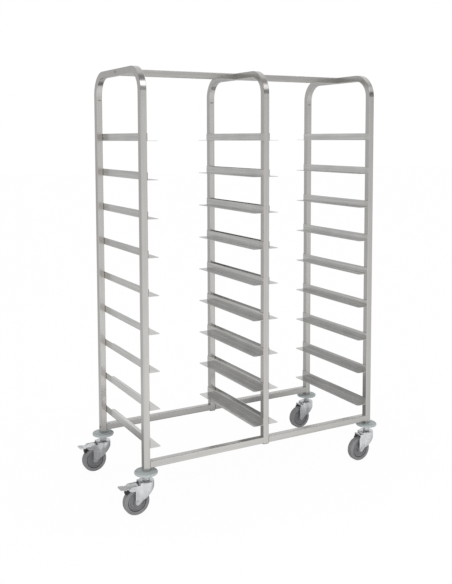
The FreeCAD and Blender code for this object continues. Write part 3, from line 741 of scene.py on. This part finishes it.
def frame_bolts():
    """Button-head bolts with a hexagon socket at the rails and ties of both end frames."""
    bolts = Shaper("frame_bolts", head_steel)
    radius = bolts.size("Head Radius", BOLT_HEAD_RADIUS)
    height = bolts.size("Head Height", BOLT_HEAD_HEIGHT)
    socket = bolts.size("Socket Radius", BOLT_SOCKET_RADIUS)
    shank = bolts.size("Shank Radius", BOLT_SHANK_RADIUS)
    length = bolts.size("Shank Length", TUBE + BOLT_PAST_TUBE)
    ball = bolts.node("GeometryNodeMeshUVSphere", None,
                      {"Segments": 32, "Rings": 16, "Radius": 1.0}).out("Mesh")
    squash = bolts.node("ShaderNodeCombineXYZ", None, {0: radius, 1: radius, 2: height}).out()
    dome = bolts.node("GeometryNodeTransform", None, {"Geometry": ball, "Scale": squash}).out()
    key = bolts.node("GeometryNodeMeshCylinder", None,
                     {"Vertices": 6, "Radius": socket, "Depth": height * 2.0}).out("Mesh")
    lifted = bolts.node("ShaderNodeCombineXYZ", None, {2: height * BOLT_SOCKET_LIFT}).out()
    key = bolts.node("GeometryNodeTransform", None, {"Geometry": key, "Translation": lifted}).out()
    head = bolts.node("GeometryNodeMeshBoolean", {"operation": "DIFFERENCE"},
                      {"Mesh 1": dome, "Mesh 2": key}).out()
    rod = bolts.node("GeometryNodeMeshCylinder", None,
                     {"Vertices": 16, "Radius": shank, "Depth": length}).out("Mesh")
    sunk = bolts.node("ShaderNodeCombineXYZ", None, {2: length * -0.5}).out()
    rod = bolts.node("GeometryNodeTransform", None, {"Geometry": rod, "Translation": sunk}).out()
    both = bolts.node("GeometryNodeJoinGeometry")
    bolts.put(both.node.inputs[0], head)
    bolts.put(both.node.inputs[0], rod)
    spot = bolts.node("GeometryNodeInputPosition").out()
    outward = bolts.node("ShaderNodeVectorMath", {"operation": "MULTIPLY"}, {0: spot, 1: (1, 0, 0)}).out()
    turn = bolts.node("FunctionNodeAlignRotationToVector", {"axis": "Z"}, {"Vector": outward}).out()
    bolts.spread(bolts.seed(), both.out(), turn)
    reach = SPACING + HALF_TUBE
    spots = [(side * reach, deep, up) for side in (-1, 1)
             for deep, up in ((-HALF_DEPTH, RAIL_LINE), (HALF_DEPTH, RAIL_LINE), (0, TOP_LINE))]
    piece("button_bolts", bolts.grow(spots), head_steel, "bolt_steel", "frame", "frame_bolts")


def weld_seams():
    """Lines along which the runners are welded to the legs, and the cross tubes to the middle frame."""
    spots = []
    lines = []

    def seam(start, stop):
        lines.append((len(spots), len(spots) + 1))
        spots.extend((start, stop))

    for frame_x, sides in ((-SPACING, (1,)), (0.0, (-1, 1)), (SPACING, (-1,))):
        for side in sides:
            for web_top in WEB_TOPS:
                for end in (-1, 1):
                    face = frame_x + side * (HALF_TUBE + RUNNER_SHEET / 2)
                    leg = end * HALF_DEPTH
                    seam((face, leg - WELD_HALF_LENGTH, web_top), (face, leg + WELD_HALF_LENGTH, web_top))
                    edge = end * (HALF_DEPTH - HALF_TUBE)
                    inside = frame_x + side * HALF_TUBE
                    seam((inside, edge, web_top - WELD_HIGH), (inside, edge, web_top - WELD_LOW))
    for side in (-1, 1):
        for deep, line in ((-HALF_DEPTH, RAIL_LINE), (HALF_DEPTH, RAIL_LINE), (0, TOP_LINE)):
            for rim in (-1, 1):
                level = line + rim * HALF_TUBE
                if level < END_HIGH.z - MM:
                    seam((side * HALF_TUBE, deep - WELD_HALF_LENGTH, level),
                         (side * HALF_TUBE, deep + WELD_HALF_LENGTH, level))
    return spots, lines


def weld_beads():
    """Rippled weld beads along the seams."""
    beads = Shaper("weld_beads", weld_metal)
    pitch = beads.size("Bead Pitch", BEAD_PITCH)
    radius = beads.size("Bead Radius", BEAD_RADIUS)
    curve = beads.node("GeometryNodeMeshToCurve", None, {"Mesh": beads.seed()}).out()
    points = beads.node("GeometryNodeCurveToPoints", {"mode": "LENGTH"}, {"Curve": curve, "Length": pitch})
    bead = beads.node("GeometryNodeMeshUVSphere", None,
                      {"Segments": 6, "Rings": 4, "Radius": radius}).out("Mesh")
    sway = beads.node("FunctionNodeRandomValue", {"data_type": "FLOAT"},
                      {2: BEAD_SMALLEST, 3: BEAD_LARGEST, "Seed": BEAD_SEED}).out(1)
    beads.spread(points.out("Points"), bead, points.out("Rotation"), sway)
    piece("weld_beads", beads.grow(*weld_seams()), weld_metal, "satin_steel", "frame")


for corner in CORNERS:
    bumper_disc(corner)
    tyre(corner)
    hub(corner)
    fork(corner)
for corner in BRAKED:
    brake_pedal(corner)
frame_bolts()
weld_beads()


def room_side(maker, place):
    """Brightness of the room towards a direction, or towards a spot on the floor."""
    flat = maker.node("ShaderNodeVectorMath", {"operation": "MULTIPLY"}, {0: place, 1: (1, 1, 0)}).out()
    heading = maker.node("ShaderNodeVectorMath", {"operation": "NORMALIZE"}, {0: flat}).out()
    parts = maker.node("ShaderNodeSeparateXYZ", None, {0: heading})
    right = parts.out("X")
    back = parts.out("Y")
    sides = right.fade(*SIDES_TURN, ROOM_LEFT, ROOM_RIGHT)
    ends = back.fade(*ENDS_TURN, ROOM_FRONT, ROOM_BACK)
    share = back * back
    return sides * (1.0 - share) + ends * share


def grey(maker, light):
    """Grey of a brightness."""
    return maker.node("ShaderNodeCombineXYZ", None, {0: light, 1: light, 2: light}).out()


def white_room():
    """Surroundings that the camera sees as white; metal mirrors a bright front and a dim back and ceiling."""
    world = bpy.data.worlds.new("white_room")
    world.use_nodes = True
    maker = Maker(world.node_tree)
    background = world.node_tree.nodes["Background"]
    path = maker.node("ShaderNodeLightPath")
    heading = maker.node("ShaderNodeTexCoord").out("Generated")
    parts = maker.node("ShaderNodeSeparateXYZ", None, {0: heading})
    right = parts.out("X")
    back = parts.out("Y")
    height = parts.out("Z")
    stops = [(place, colour(share, share, share)) for place, share in FRONT_STRIPES]
    stripes = maker.node("ShaderNodeValToRGB", {"stops": stops}, {0: height}).out() * BRIGHTEST
    beside = right.fade(*BAND_RIGHT_END) + right.fade(*BAND_LEFT_END, 1.0, 0.0)
    stripes = stripes * (1.0 - beside * height.fade(*BAND_RISE, HORIZON_FADE, BAND_FADE))
    lift = right.fade(*LIFT_TURN, BACK_LEFT_LIFT, BACK_RIGHT_LIFT)
    plain = room_side(maker, heading) * (1.0 + height.fade(*LIFT_RISE) * (lift - 1.0))
    ahead = back.fade(*FRONT_END, 1.0, 0.0)
    ceiling = height.fade(*CEILING_RISE)
    walls = plain * (1.0 - ahead) + stripes * ahead
    light = walls * (1.0 - ceiling) + ceiling * back.fade(*CEILING_TURN, CEILING_FRONT, CEILING_BACK)
    mirrored = path.out("Is Glossy Ray")
    seen = maker.blend(mirrored, WHITE, grey(maker, light))
    maker.put(background.inputs["Color"], seen)
    background.inputs["Strength"].default_value = 1.0
    scene.world = world


def pale_floor():
    """Wide pale floor under the wheels that the camera sees as white, with the soft shadow kept."""
    mesh = bpy.data.meshes.new("floor")
    far = FLOOR_HALF_SIZE
    mesh.from_pydata([(-far, -far, 0), (far, -far, 0), (far, far, 0), (-far, far, 0)], [], [(0, 1, 2, 3)])
    floor = bpy.data.objects.new("floor", mesh)
    scene.collection.objects.link(floor)
    finish = Finish("pale_floor", roughness=0.9, metallic=0.0)
    finish.set(base_color=colour(FLOOR_GREY, FLOOR_GREY, FLOOR_GREY))
    path = finish.node("ShaderNodeLightPath")
    mirrored = path.out("Is Glossy Ray")
    across, deep = finish.axes()[:2]
    under = abs(deep - UNDER_DEEP).fade(*UNDER_DEPTH_END, 1.0, 0.0)
    under = under * abs(across - UNDER_ACROSS).fade(*UNDER_WIDTH_END, 1.0, 0.0)
    reach = finish.node("ShaderNodeVectorMath", {"operation": "LENGTH"}, {0: finish.spot}).out("Value")
    mirror = room_side(finish, finish.spot) * (1.0 - under * UNDER_SHADE)
    mirror = mirror * reach.fade(*FLOOR_REACH, 1.0, FAR_FLOOR)
    shade = finish.blend(mirrored, WHITE, grey(finish, mirror))
    glow = finish.node("ShaderNodeEmission", None, {"Color": shade, "Strength": 1.0}).out()
    straight = path.out("Is Camera Ray") + mirrored + path.out("Is Transmission Ray")
    seen = straight.least(1.0) * FLOOR_WHITE
    plain = Wire(finish, finish.shader.outputs[0])
    mixed = finish.node("ShaderNodeMixShader", None, {0: seen, 1: plain, 2: glow}).out()
    finish.put(finish.tree.nodes["Material Output"].inputs["Surface"], mixed)
    mesh.materials.append(finish.material)


def soft_box():
    """Soft lamp on the plastic and the floor; its own outline stays out of what the steel mirrors."""
    lamp = bpy.data.lights.new("front_box", "AREA")
    lamp.shape = "RECTANGLE"
    lamp.size = LAMP_WIDTH
    lamp.size_y = LAMP_HEIGHT
    lamp.energy = LAMP_POWER
    holder = bpy.data.objects.new("front_box", lamp)
    holder.location = LAMP_PLACE
    holder.rotation_euler = (LAMP_AIM - LAMP_PLACE).to_track_quat("-Z", "Y").to_euler()
    holder.visible_glossy = False
    scene.collection.objects.link(holder)


def camera():
    """Camera at the picture's place, with its lens and shift."""
    lens = bpy.data.cameras.new("camera")
    lens.sensor_width = SENSOR
    lens.lens = FOCAL_PIXELS / PICTURE_HEIGHT * SENSOR
    lens.shift_y = SHIFT_UP
    holder = bpy.data.objects.new("camera", lens)
    holder.location = EYE
    holder.rotation_euler = (math.pi / 2 - LOOK_DOWN, TILT, -LOOK_RIGHT)
    scene.collection.objects.link(holder)
    scene.camera = holder


white_room()
pale_floor()
soft_box()
camera()
scene.view_settings.view_transform = "Standard"
